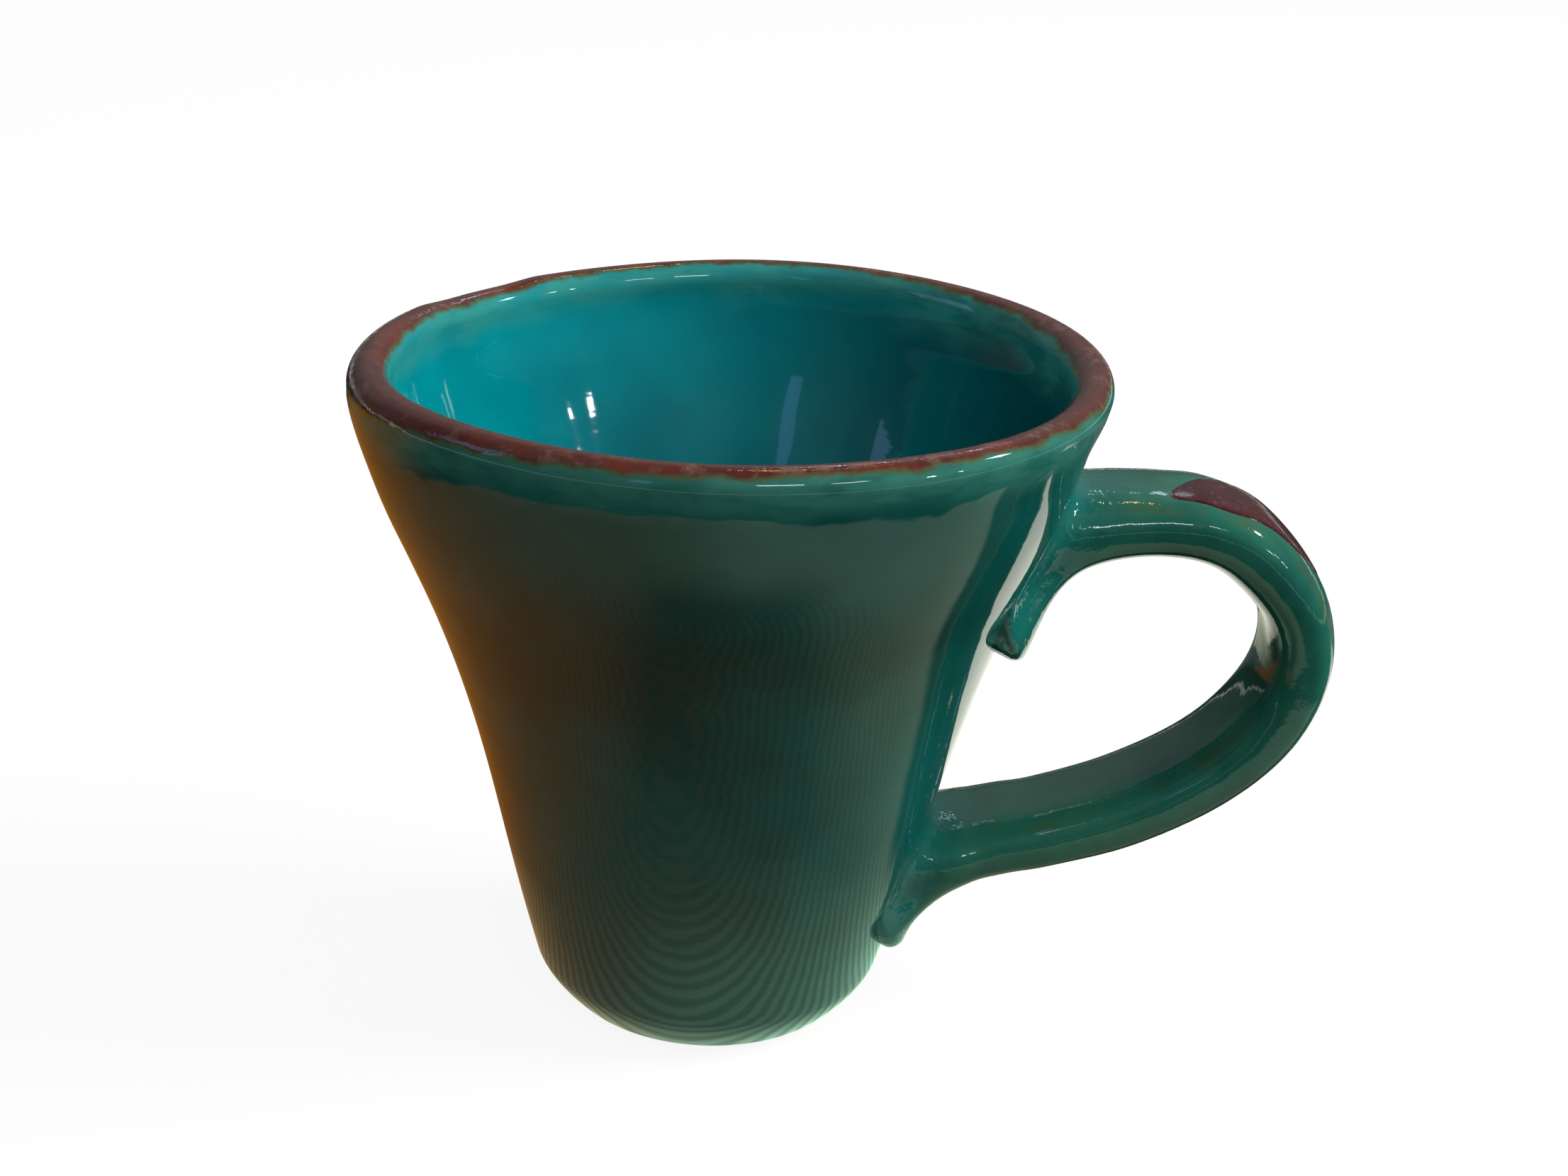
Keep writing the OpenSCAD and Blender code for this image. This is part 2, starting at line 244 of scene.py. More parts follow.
class Outline:
    """The cup's outline before its hand-made unevenness."""

    def __init__(self, sizes):
        self.s = sizes
        self.lip_r = sizes.wall_t / 2
        self.lip_x = sizes.rim_r - self.lip_r
        self.lip_z = sizes.height - self.lip_r - self.lip_x * sin(sizes.lip_tilt)
        self.rim_z = self.lip_z - (sizes.rim_r + sizes.coat_t) * tan(sizes.lip_tilt)
        self.shoulder_z = self.rim_z - sizes.collar_h
        self.heel_slope = 3 * (sizes.lower_draw_r - sizes.heel_r) / (self.shoulder_z - sizes.heel_h)
        below = 3 * (sizes.shoulder_r - sizes.upper_draw_r) / (self.shoulder_z - sizes.heel_h)
        above = sizes.collar_power * (sizes.rim_r - sizes.shoulder_r) / sizes.collar_h
        self.crease = below - above

    def wall_r(self, z):
        """Radius of the clay's outer face at a height."""
        s = self.s
        if z < s.heel_h:
            draw_in = s.heel_r - self.heel_slope * s.heel_h - s.foot_r
            fall = (1 - z / s.heel_h) ** s.heel_power
            return s.heel_r - self.heel_slope * (s.heel_h - z) - draw_in * fall
        near = max(0, SHOULDER_BLEND - abs(z - self.shoulder_z))
        eased = self.crease * near ** 2 / (4 * SHOULDER_BLEND)
        if z < self.shoulder_z:
            t = (z - s.heel_h) / (self.shoulder_z - s.heel_h)
            return cubic(s.heel_r, s.lower_draw_r, s.upper_draw_r, s.shoulder_r, t) - eased
        fall = max(0, self.rim_z - z) / s.collar_h
        return s.rim_r - (s.rim_r - s.shoulder_r) * fall ** s.collar_power - eased

    def levels(self, low, high):
        """Heights from low up to high, closer together where the outline turns more."""
        s = self.s
        marks = [(0, HEEL_STEPS), (s.heel_h, WALL_STEPS), (self.shoulder_z, COLLAR_STEPS),
                 (self.rim_z, RIM_STEPS), (self.lip_z, 0)]
        found = [low]
        for (start, steps), (end, _) in zip(marks, marks[1:]):
            found += [start + (end - start) * i / steps for i in range(steps)]
        inner = [z for z in found if low + SEAM_GUARD < z < high - SEAM_GUARD]
        return [low] + ([low + SEAM_GUARD] if low > 0 else []) + inner + [high - SEAM_GUARD, high]

    def outer(self, low, high, coat):
        """The outside, upwards."""
        return [(self.wall_r(z) + coat, z) for z in self.levels(low, high)]

    def inner(self, low, high, coat):
        """The inside, downwards."""
        return [(self.wall_r(z) - self.s.wall_t - coat, z) for z in reversed(self.levels(low, high))]

    def lip(self, coat):
        """The lip's rounding, from the outside to the inside."""
        turns = [pi * i / LIP_STEPS for i in range(1, LIP_STEPS)]
        return [(self.lip_x + (self.lip_r + coat) * cos(a), self.lip_z + (self.lip_r + coat) * sin(a))
                for a in turns]

    def floor(self, coat):
        """The rounded corner and the floor inside, from the wall to the axis."""
        s = self.s
        top_z = s.floor_t + s.corner_r
        top = Vector((self.wall_r(top_z) - s.wall_t - coat, top_z))
        foot = Vector((self.wall_r(s.floor_t) - s.wall_t - coat, s.floor_t + coat))
        end = foot - Vector((s.corner_r, 0))
        line = []
        for i in range(1, CORNER_STEPS + 1):
            t = i / CORNER_STEPS
            line.append(tuple(top * (1 - t) ** 2 + foot * (2 * t * (1 - t)) + end * t * t))
        spare = [(end.x * (1 - i / CORNER_STEPS), end.y) for i in range(1, CORNER_STEPS)]
        return line + spare + [(0, end.y)]

    def lip_way(self, r, z):
        """Signed way along the outline from the lip's crest: outside above 0, inside below."""
        if z > self.lip_z:
            return self.lip_r * atan2(r - self.lip_x, z - self.lip_z)
        side = 1 if r > self.wall_r(z) - self.s.wall_t / 2 else -1
        return side * (self.lip_r * pi / 2 + self.lip_z - z)


def slip_reach(turn, outside):
    """How far the brushed slip runs down from the lip's crest: the brush went lower on the left."""
    if outside:
        return (2.7 - 0.9 * cos(turn) + 0.6 * sin(turn) + 0.35 * cos(2 * turn)) * MM
    return (1.55 - 0.2 * sin(turn) + 0.6 * cos(2 * turn)) * MM


def hand_made(p, outline):
    """Moves a point as the potter's hand moved the clay: an uneven lip and a wall not quite round."""
    sizes = outline.s
    r = hypot(p.x, p.y)
    turn = atan2(p.y, p.x)
    lean = smooth(p.z, LEAN_FROM * sizes.height, LEAN_FULL * sizes.height)
    lift = tan(sizes.lip_tilt) * r * cos(turn - sizes.lip_turn)
    lift += sizes.lip_wave * cos(2 * (turn - sizes.wave_turn)) + RIPPLE * sin(5 * turn + 0.6)
    lift -= NICK * smooth(cos(turn - sizes.nick_turn), NICK_NARROW, 1.0)
    lumps = noise.noise(Vector((LUMPS_ROUND * cos(turn), LUMPS_ROUND * sin(turn), p.z / LUMP)))
    # The wall gave way where the handle was pressed on, above its middle and below its lip
    grip = smooth(cos(turn), 0.4, 0.95) * smooth(p.z, 0.46 * sizes.height, 0.86 * sizes.height)
    grip *= 1 - smooth(p.z, 0.89 * sizes.height, 0.99 * sizes.height)
    grip *= 1 - smooth(r - outline.wall_r(p.z), 1 * MM, 12 * MM)
    squeeze = LUMP_DEPTH * (lumps - 1) * smooth(p.z, 0, LUMP_START) - sizes.dent * grip
    scale = 1 + squeeze / r if r > MM else 1
    return Vector((p.x * scale, p.y * scale, p.z + lean * lift))


def finish_piece(bm, name, material, nodes, sharp=50):
    """Makes the mesh an object that rides on the mug and stands for its CAD nodes."""
    bmesh.ops.recalc_face_normals(bm, faces=bm.faces)
    mesh = bpy.data.meshes.new(name)
    bm.to_mesh(mesh)
    bm.free()
    mesh.shade_smooth()
    mesh.set_sharp_from_angle(angle=radians(sharp))
    mesh.materials.append(material)
    piece = bpy.data.objects.new(name, mesh)
    bpy.context.scene.collection.objects.link(piece)
    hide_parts(*nodes)
    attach(piece, BODY)


def revolved(line, sizes, closed):
    """A bmesh spun from an outline of (radius, height) points, with their way below the slip's edge."""
    outline = Outline(sizes)
    bm = bmesh.new()
    way = bm.verts.layers.float.new("below_slip")
    verts = [bm.verts.new((r, 0, z)) for r, z in line]
    for v, (r, z) in zip(verts, line):
        v[way] = outline.lip_way(r, z)
    pairs = list(zip(verts, verts[1:])) + ([(verts[-1], verts[0])] if closed else [])
    edges = [bm.edges.new(pair) for pair in pairs]
    bmesh.ops.spin(bm, geom=verts + edges, cent=(0, 0, 0), axis=(0, 0, 1), angle=2 * pi,
                   steps=sizes.segments, use_merge=True)
    bmesh.ops.remove_doubles(bm, verts=bm.verts, dist=MERGE)
    inner = bm.verts.layers.float.new("inner_side")
    for v in bm.verts:
        v[inner] = 1 if v[way] < 0 else 0
        v[way] = abs(v[way]) - slip_reach(atan2(v.co.y, v.co.x), v[way] > 0)
    return bm


def warp(bm, sizes):
    """Gives a mesh the cup's unevenness, so that each coat follows the one below it."""
    outline = Outline(sizes)
    for v in bm.verts:
        v.co = hand_made(v.co, outline)


# Nodes by plain names: type, settings, the sockets that values go to in turn, and the output that
# is read, where None stands for all of them
NODES = {
    "coordinates": ("ShaderNodeTexCoord", {}, (), "Object"),
    "split": ("ShaderNodeSeparateXYZ", {}, ("Vector",), None),
    "distance": ("ShaderNodeVectorMath", {"operation": "LENGTH"}, (0,), "Value"),
    "stretch": ("ShaderNodeMapping", {}, ("Vector", "Scale", "Location"), 0),
    "below_slip": ("ShaderNodeAttribute", {"attribute_name": "below_slip"}, (), "Fac"),
    "inner_side": ("ShaderNodeAttribute", {"attribute_name": "inner_side"}, (), "Fac"),
    "thin_glaze": ("ShaderNodeAttribute", {"attribute_name": "thin_glaze"}, (), "Fac"),
    "near_wall": ("ShaderNodeAttribute", {"attribute_name": "near_wall"}, (), "Fac"),
    "add": ("ShaderNodeMath", {"operation": "ADD"}, (0, 1), 0),
    "add_up_to_one": ("ShaderNodeMath", {"operation": "ADD", "use_clamp": True}, (0, 1), 0),
    "subtract": ("ShaderNodeMath", {"operation": "SUBTRACT"}, (0, 1), 0),
    "multiply": ("ShaderNodeMath", {"operation": "MULTIPLY"}, (0, 1), 0),
    "larger": ("ShaderNodeMath", {"operation": "MAXIMUM"}, (0, 1), 0),
    "without_sign": ("ShaderNodeMath", {"operation": "ABSOLUTE"}, (0,), 0),
    # A value, a low, a high, and what the ramp gives below and above them if not 0 and 1
    "ramp": ("ShaderNodeMapRange", {"interpolation_type": "SMOOTHSTEP"}, (0, 1, 2, 3, 4), 0),
    # A factor, the colour where it is 0 and the colour where it is 1
    "mix": ("ShaderNodeMix", {"data_type": "RGBA"}, (0, 6, 7), 2),
    # Soft blotches from 0 to 1, with finer ones in them as the detail and roughness grow
    "cloud": ("ShaderNodeTexNoise", {}, ("Vector", "Scale", "Detail", "Roughness"), "Fac"),
    "rings": ("ShaderNodeTexWave", {"wave_type": "RINGS", "rings_direction": "Z"},
              ("Vector", "Scale", "Distortion", "Detail", "Detail Scale"), "Fac"),
    "relief": ("ShaderNodeBump", {}, ("Strength", "Distance", "Height"), 0),
    "surface": ("ShaderNodeBsdfPrincipled", {}, ("Base Color", "Roughness", "IOR", "Normal"), 0),
    "dull": ("ShaderNodeBsdfDiffuse", {}, ("Color",), 0),
    "glow": ("ShaderNodeEmission", {}, ("Color", "Strength"), 0),
    "together": ("ShaderNodeAddShader", {}, (0, 1), 0),
    "rays": ("ShaderNodeLightPath", {}, (), None),
    "background": ("ShaderNodeBackground", {}, ("Color", "Strength"), 0),
    "material": ("ShaderNodeOutputMaterial", {}, ("Surface",), None),
    "world": ("ShaderNodeOutputWorld", {}, ("Surface",), None),
}


def add_node(tree, kind, *values):
    """Adds a node with its settings, and links or sets its sockets."""
    type_name, settings, sockets, output = NODES[kind]
    made = tree.nodes.new(type_name)
    for key, value in settings.items():
        setattr(made, key, value)
    for key, value in zip(sockets, values):
        socket = made.inputs[key]
        if isinstance(value, bpy.types.NodeSocket):
            tree.links.new(value, socket)
        elif socket.type == "RGBA":
            socket.default_value = (*value, 1)
        else:
            socket.default_value = value
    return made.outputs if output is None else made.outputs[output]


def new_material(name):
    """An empty material, and add_node for its own tree."""
    material = bpy.data.materials.new(name)
    material.use_nodes = True
    material.node_tree.nodes.clear()
    return material, partial(add_node, material.node_tree)


def per(size):
    """Scale of a pattern whose features are so long."""
    return 1 / size


def swing(node, pattern, reach):
    """A pattern from 0 to 1 turned to a way to both sides, reach from end to end."""
    return node("multiply", node("subtract", pattern, 0.5), reach)


def fired(node, base, roughness, ior, height):
    """Ends a material: its colour, its gloss, and its relief as a height in metres."""
    relief = node("relief", 1.0, 1.0, height)
    node("material", node("surface", base, roughness, ior, relief))


def cup_glaze(name, colours):
    """Poured tin-and-copper glaze, turquoise inside and green outside, over a lip brushed with slip.

    To the eye it is a glassy skin over a colour that pools darker in places, thins to streaky mint below
    the lip and breaks olive where it meets the slip. Inside, towards the handle, it carries painted
    shade, and the mint below the lip is partly a painted reflection of the bright ceiling. The slip is
    drier and mottled."""
    material, node = new_material(name)
    coords = node("coordinates")
    place = node("split", coords)
    way = node("below_slip")
    inner = node("inner_side")

    # The edge between slip and glaze wanders with the brush and crumbles finely
    drips = node("cloud", coords, per(7 * MM), 2, 0.5)
    crumbs = node("cloud", coords, per(1.6 * MM), 3, 0.6)
    edge = node("add", way, node("add", swing(node, drips, 1.8 * MM), swing(node, crumbs, 1.1 * MM)))

    # Glaze pools deeper in broad soft patches
    deep = node("mix", inner, colours.outside_deep, colours.inside_deep)
    pooled = node("ramp", node("cloud", coords, per(34 * MM), 3, 0.55), 0.35, 0.7)
    body = node("mix", pooled, node("mix", inner, colours.outside, colours.inside), deep)
    # Painted shade: inside, towards the handle, darkened where the cup's own rim shades it
    settled = node("multiply", node("ramp", place["X"], -5 * MM, 46 * MM, 0.0, 0.9), inner)
    body = node("mix", settled, body, colours.inside_painted_shade)
    grain = node("cloud", node("stretch", coords, (1, 1, 4)), per(3 * MM), 4, 0.7)
    body = node("mix", node("ramp", grain, 0.35, 0.8, 0.0, 0.18), body, deep)

    # It is teal where it ran together beside the handle's lower root
    by_root = node("multiply", node("ramp", place["X"], 17 * MM, 29 * MM),
                   node("ramp", place["Z"], 62 * MM, 40 * MM))
    body = node("mix", node("multiply", by_root, 0.8), body, colours.root)

    # It ran thin for some 7 mm below the slip, in upright streaks; the mint there is partly thinned glaze
    # and partly a painted reflection of the bright ceiling in the curve under the lip
    thin_and_sheen_reach = node("add", way, swing(node, node("cloud", coords, per(16 * MM), 2), 9 * MM))
    thin_and_sheen_end = node("ramp", inner, 0.0, 1.0, 6.5 * MM, 7.5 * MM)
    streaks = node("cloud", node("stretch", coords, (1, 1, 3.5)), per(8 * MM), 4, 0.6)
    thinned_and_sheen = node("multiply", node("ramp", thin_and_sheen_reach, 1.5 * MM, thin_and_sheen_end, 0.8, 0.0),
                   node("ramp", streaks, 0.35, 0.6, 0.45, 1.0))
    body = node("mix", thinned_and_sheen, body, node("mix", inner, colours.thin, colours.thin_inside_and_sheen))

    # It breaks olive at the slip's edge, and ends in a scorched line over the bare foot
    body = node("mix", node("ramp", edge, 0.1 * MM, 0.8 * MM, 0.9, 0.0), body, colours.breaking)
    low = node("add", place["Z"], swing(node, crumbs, 2.5 * MM))
    body = node("mix", node("ramp", low, 1.4 * MM, 2.4 * MM, 0.85, 0.0), body, colours.clay_dark)

    # The slip is blotched, dusty here and redder there
    blotches = node("cloud", coords, per(4 * MM), 5, 0.7)
    slip = node("mix", node("ramp", blotches, 0.5, 0.66), colours.slip, colours.slip_dusty)
    reddened = node("ramp", node("cloud", coords, per(11 * MM), 2), 0.5, 0.72, 0, 0.7)
    slip = node("mix", reddened, slip, colours.slip_red)
    is_slip = node("ramp", edge, -0.4 * MM, 0.35 * MM, 1.0, 0.0)
    base = node("mix", is_slip, body, slip)

    # Its dusty blotches are dull, and the rest is as glassy as the glaze
    dry = node("multiply", is_slip, node("ramp", blotches, 0.42, 0.62, 0.02, 0.24))
    roughness = node("add", node("add", dry, 0.04), node("ramp", crumbs, 0.4, 0.8, 0.0, 0.02))

    # Relief: throwing rings, slow waves of thick glaze, and the crumbled slip
    rings = node("cloud", node("stretch", coords, (0.12, 0.12, 1)), per(2.6 * MM), 2)
    waves = node("cloud", coords, per(11 * MM), 1)
    height = node("add", node("multiply", rings, 0.02 * MM), node("multiply", waves, 0.12 * MM))
    crumbled = node("multiply", node("multiply", crumbs, is_slip), 0.09 * MM)
    fired(node, base, roughness, ior=1.5, height=node("add", height, crumbled))
    return material


def handle_glaze(name, colours):
    """The outside glaze on the dipped handle, thinner than on the cup.

    To the eye it is a paler green that breaks olive along the strap's edges, pools teal in the
    roots, and has a glassy skin over the dabs of the thumb that pressed them on."""
    material, node = new_material(name)
    coords = node("coordinates")
    near = node("near_wall")
    pooled = node("ramp", node("cloud", coords, per(22 * MM), 3, 0.55), 0.35, 0.7)
    body = node("mix", pooled, colours.handle, colours.handle_deep)
    grain = node("cloud", coords, per(3.2 * MM), 4, 0.7)
    body = node("mix", node("ramp", grain, 0.35, 0.8, 0.0, 0.15), body, colours.thin)
    broken = node("multiply", node("thin_glaze"), node("cloud", coords, per(6 * MM), 3, 0.6))
    base = node("mix", node("ramp", broken, 0.35, 0.65, 0.0, 0.4), body, colours.breaking)
    base = node("mix", node("multiply", near, 0.7), base, colours.root)

    # Relief: slow waves all over, dabs near the wall, and pits drawn coarse enough to show
    waves = node("multiply", node("cloud", coords, per(7 * MM), 1), 0.2 * MM)
    dabs = node("multiply", node("multiply", node("cloud", coords, per(2.2 * MM), 2), near), 0.3 * MM)
    pits = node("multiply", node("cloud", coords, per(1.7 * MM), 3, 0.6), 0.035 * MM)
    fired(node, base, roughness=0.06, ior=1.52, height=node("add", waves, node("add", dabs, pits)))
    return material


def patch_slip(name, colours):
    """Iron slip brushed on the strap under a thin gloss: a soft shine on blotched wine brown."""
    material, node = new_material(name)
    coords = node("coordinates")
    blotches = node("cloud", coords, per(3.5 * MM), 4, 0.65)
    slip = node("mix", node("ramp", blotches, 0.45, 0.75, 0, 0.3), colours.patch, colours.slip_dusty)
    specks = node("cloud", coords, per(0.8 * MM), 2, 0.6)
    slip = node("mix", node("ramp", specks, 0.58, 0.7, 0, 0.5), slip, colours.slip_dusty)
    height = node("multiply", node("cloud", coords, per(1.6 * MM), 3), 0.05 * MM)
    fired(node, slip, roughness=0.14, ior=1.36, height=height)
    return material


def bare_clay(name, colours):
    """Bare fired earthenware, wiped and trimmed: dull, gritty and darker beside the glaze."""
    material, node = new_material(name)
    coords = node("coordinates")
    # Real grit is finer than this, and would not show
    grit = node("cloud", coords, per(0.9 * MM), 4, 0.7)
    patches = node("cloud", coords, per(11 * MM), 3)
    base = node("mix", node("ramp", patches, 0.35, 0.7), colours.clay, colours.clay_dark)
    base = node("mix", node("ramp", grit, 0.55, 0.75, 0.0, 0.6), base, colours.clay_dark)
    turned = node("rings", coords, per(9 * MM), 0.6, 2.0)
    height = node("add", node("multiply", turned, 0.05 * MM), node("multiply", grit, 0.12 * MM))
    fired(node, base, roughness=0.8, ior=1.5, height=height)
    return material


class MUG_OT_clay_cup(bpy.types.Operator):
    """Throws the clay cup, bare on its foot"""
    bl_idname = "mug.clay_cup"
    bl_label = "Clay Cup"

    def execute(self, context):
        sizes = context.scene.mug_cup
        outline = Outline(sizes)
        # It stands on a ring round a shallow hollow, and the foot's edge is wiped round
        hollow = 0.25 * MM
        hollow_r = sizes.foot_r - 5 * MM
        ring_r = sizes.foot_r - 4 * MM
        edge = 0.5 * MM
        line = [(0, hollow), (hollow_r, hollow), (ring_r, 0),
                (sizes.foot_r - edge, 0), (sizes.foot_r - 0.3 * edge, 0.3 * edge)]
        line += outline.outer(edge, outline.lip_z, 0) + outline.lip(0)
        line += outline.inner(sizes.floor_t + sizes.corner_r, outline.lip_z, 0) + outline.floor(0)
        bm = revolved(line, sizes, closed=False)
        warp(bm, sizes)
        finish_piece(bm, "thrown_cup", bare_clay("fired_earthenware", context.scene.mug_colours),
                     ["clay_cup"], sharp=35)
        return {"FINISHED"}


class MUG_OT_glaze_coats(bpy.types.Operator):
    """Pours the glaze inside and outside and brushes the lip"""
    bl_idname = "mug.glaze_coats"
    bl_label = "Glaze Coats"

    def execute(self, context):
        sizes = context.scene.mug_cup
        colours = context.scene.mug_colours
        outline = Outline(sizes)
        coat = sizes.coat_t
        seam_z = outline.lip_z - BAND_TAIL
        corner_z = sizes.floor_t + sizes.corner_r
        # The outside coat ends in a small roll over the bare foot
        roll = [(outline.wall_r(sizes.bare_h) + coat * s, sizes.bare_h - 0.6 * coat * (1 - s))
                for s in (0.4, 0.8)]
        outside = (roll + outline.outer(sizes.bare_h, seam_z, coat)
                   + [(outline.wall_r(z), z) for z in reversed(outline.levels(sizes.bare_h, seam_z))])
        inside = (outline.inner(corner_z, seam_z, coat) + outline.floor(coat)
                  + list(reversed(outline.inner(corner_z, seam_z, 0) + outline.floor(0))))
        lip = (outline.outer(seam_z, outline.lip_z, coat) + outline.lip(coat)
               + outline.inner(seam_z, outline.lip_z, coat)
               + list(reversed(outline.outer(seam_z, outline.lip_z, 0) + outline.lip(0)
                               + outline.inner(seam_z, outline.lip_z, 0))))
        coats = (
            ("outer_glaze", outside, True, "green_glaze", "outside_glaze", "green_copper_glaze"),
            ("inner_glaze", inside, False, "turquoise_glaze", "inside_glaze", "turquoise_tin_glaze"),
            ("lip_slip_band", lip, True, "iron_slip", "lip_band", "brushed_iron_slip"))
        for name, line, closed, slot, cad_node, finish in coats:
            bm = revolved(line, sizes, closed)
            warp(bm, sizes)
            finish_piece(bm, name, cup_glaze(finish, colours), [cad_node])
        return {"FINISHED"}


class Strap:
    """The pulled strap between its two roots, in the handle's plane y = 0."""

    def __init__(self, handle, cup):
        self.h = handle
        self.cup = cup
        self.outline = Outline(cup)

    def station(self, i):
        """Outer edge, inner edge and half width at a station, with the glaze on."""
        out, height, lean, thick, wide = STATION_SHARES[i]
        z = height * self.cup.height
        slant = Vector((cos(radians(lean)), 0, sin(radians(lean))))
        half = (thick * self.h.thickness / 2 + self.cup.coat_t) * slant
        centre = Vector((self.outline.wall_r(z) + out * self.h.reach, 0, z))
        return centre + half, centre - half, Vector((0, wide * self.h.width / 2 + self.cup.coat_t, 0))

    def at(self, s):
        """The same at any place along the strap, given in stations."""
        i = min(int(s), LAST_STATION - 1)
        near = [self.station(k) for k in (i - 1, i, i + 1, i + 2)]
        return [through(*(edges[j] for edges in near), s - i) for j in range(3)]

    def squared(self, v):
        """A sine or cosine, pushed outwards to square the section."""
        return (1 if v > 0 else -1) * abs(v) ** (2 / self.h.square)

    def ring(self, s):
        """Points round the section, from one side over the outer face to the other side."""
        outer, inner, half_w = self.at(s)
        middle, rise = (outer + inner) / 2, (outer - inner) / 2
        turns = [2 * pi * k / self.h.sides for k in range(self.h.sides)]
        return [middle + rise * self.squared(sin(a)) + half_w * self.squared(cos(a)) for a in turns]

    def face_point(self, s, across, lift):
        """A point of the outer face, so far along in stations and so far across it."""
        outer, inner, half_w = self.at(s)
        middle, rise = (outer + inner) / 2, (outer - inner) / 2
        share = (1 - (abs(across) / half_w.y) ** self.h.square) ** (1 / self.h.square)
        return middle + rise * share + Vector((0, across, 0)) + rise.normalized() * lift


# Each root's footprint on the wall: the station it grows from, the middle's height, half its
# height and half its width, the height of its blunt lower end over the wall, and which way up the
# strap's outer face looks there
ROOTS = {
    "upper": {"station": FIRST_STATION, "z": 71.2 * MM, "half_h": 13.0 * MM, "half_w": 19.0 * MM,
              "ledge": 3.9 * MM, "up": 1},
    "lower": {"station": LAST_STATION, "z": 21.9 * MM, "half_h": 10.6 * MM, "half_w": 16.0 * MM,
              "ledge": 2.9 * MM, "up": -1},
}
# Steps round a root's edge and up its fillet
ARC_STEPS = 5
FILLET_STEPS = 18
# How far a root starts inside the wall, and how far up the strap its direction is taken
ROOT_DEPTH = 1.5 * MM
LEAD_STATIONS = 0.15


def root_rings(strap, root):
    """Rings from inside the wall, round the root's edge and up its concave fillet to the strap."""
    handle, outline, coat = strap.h, strap.outline, strap.cup.coat_t
    first = strap.ring(root["station"])
    onward = strap.ring(root["station"] + LEAD_STATIONS * root["up"])
    columns = []
    for k in range(handle.sides):
        a = 2 * pi * k / handle.sides
        across = strap.squared(cos(a))
        along = strap.squared(sin(a)) * root["up"]
        y, z = root["half_w"] * across, root["z"] + root["half_h"] * along
        r = outline.wall_r(z) + coat
        turn = y / r
        slope = (outline.wall_r(z + MM) - outline.wall_r(z - MM)) / (2 * MM)
        wall = Vector((r * cos(turn), r * sin(turn), z))
        out = Vector((cos(turn), sin(turn), -slope)).normalized()
        side = Vector((-sin(turn), cos(turn), 0))
        climb = out.cross(side) * -1
        if climb.z < 0:
            climb.negate()
        n = handle.square
        pull_y = -abs(across) ** (n - 1) * (1 if across > 0 else -1) / root["half_w"]
        pull_z = -abs(along) ** (n - 1) * (1 if along > 0 else -1) / root["half_h"]
        inward = (side * pull_y + climb * pull_z).normalized()
        lower = smooth(-along, 0.05, 0.95)
        level = handle.contact_h + (root["ledge"] - handle.contact_h) * lower
        radius = handle.edge_r * (1 + lower)
        hub = wall + out * (level - radius) + inward * radius
        arc = [hub - inward * radius * cos(t) + out * radius * sin(t)
               for t in (pi / 2 * i / ARC_STEPS for i in range(ARC_STEPS + 1))]
        start = wall - out * ROOT_DEPTH
        lead = (onward[k] - first[k]).normalized()
        span = (first[k] - arc[-1]).length
        # Above, the fillet sweeps wide, and below it is tighter over the blunt tail
        pull = 0.5 - 0.2 * lower
        by_wall = arc[-1] + inward * span * pull
        by_strap = first[k] - lead * span * pull
        bend = [cubic(arc[-1], by_wall, by_strap, first[k], i / FILLET_STEPS)
                for i in range(1, FILLET_STEPS)]
        columns.append([start] + arc + bend)
    return [list(ring) for ring in zip(*columns)]


def lofted(rings):
    """A bmesh extruded ring by ring through the given points, with its ends closed."""
    bm = bmesh.new()
    count = len(rings[0])
    side = bm.verts.layers.int.new("side")
    base = bmesh.ops.create_circle(bm, cap_ends=False, segments=count, radius=MM)["verts"]
    for v, (k, point) in zip(base, enumerate(rings[0])):
        v[side] = k
        v.co = point
    first = list(bm.edges)
    edges = first
    for ring in rings[1:]:
        made = bmesh.ops.extrude_edge_only(bm, edges=edges)["geom"]
        fresh = {g for g in made if isinstance(g, bmesh.types.BMVert)}
        for v in fresh:
            v.co = ring[v[side]]
        edges = [g for g in made
                 if isinstance(g, bmesh.types.BMEdge) and all(v in fresh for v in g.verts)]
    for loop in (first, edges):
        bmesh.ops.holes_fill(bm, edges=loop, sides=count)
    return bm


class MUG_OT_handle(bpy.types.Operator):
    """Pulls the strap handle and presses its two roots on the wall"""
    bl_idname = "mug.handle"
    bl_label = "Handle"

    def execute(self, context):
        cup, handle = context.scene.mug_cup, context.scene.mug_handle
        strap = Strap(handle, cup)
        steps = (LAST_STATION - FIRST_STATION) * handle.rings
        between = [strap.ring(FIRST_STATION + i / handle.rings) for i in range(steps + 1)]
        upper, lower = (root_rings(strap, ROOTS[key]) for key in ("upper", "lower"))
        bm = lofted(upper + between + lower[::-1])
        side = bm.verts.layers.int["side"]
        thin = bm.verts.layers.float.new("thin_glaze")
        root = bm.verts.layers.float.new("near_wall")
        for v in bm.verts:
            # Glaze thins along the strap's four rounded edges
            a = 2 * pi * v[side] / handle.sides
            v[thin] = smooth(abs(sin(2 * a)), 0.7, 1.0)
            off_wall = hypot(v.co.x, v.co.y) - strap.outline.wall_r(v.co.z)
            v[root] = 1 - smooth(off_wall, 1 * MM, 9 * MM)
        warp(bm, cup)
        finish_piece(bm, "strap_handle",
                     handle_glaze("green_handle_glaze", context.scene.mug_colours),
                     ["clay_handle", "handle_glaze", "upper_joint_slip", "lower_joint_slip"], sharp=60)
        return {"FINISHED"}


# Steps of the brown patch, from its middle out and round it
PATCH_RINGS = 14
PATCH_SIDES = 96
# In millimetres, how proud it stands on the glaze and how far its rim sinks from there
PATCH_PROUD = 0.09
PATCH_SINK = 0.25
PATCH_THICK = 0.3 * MM


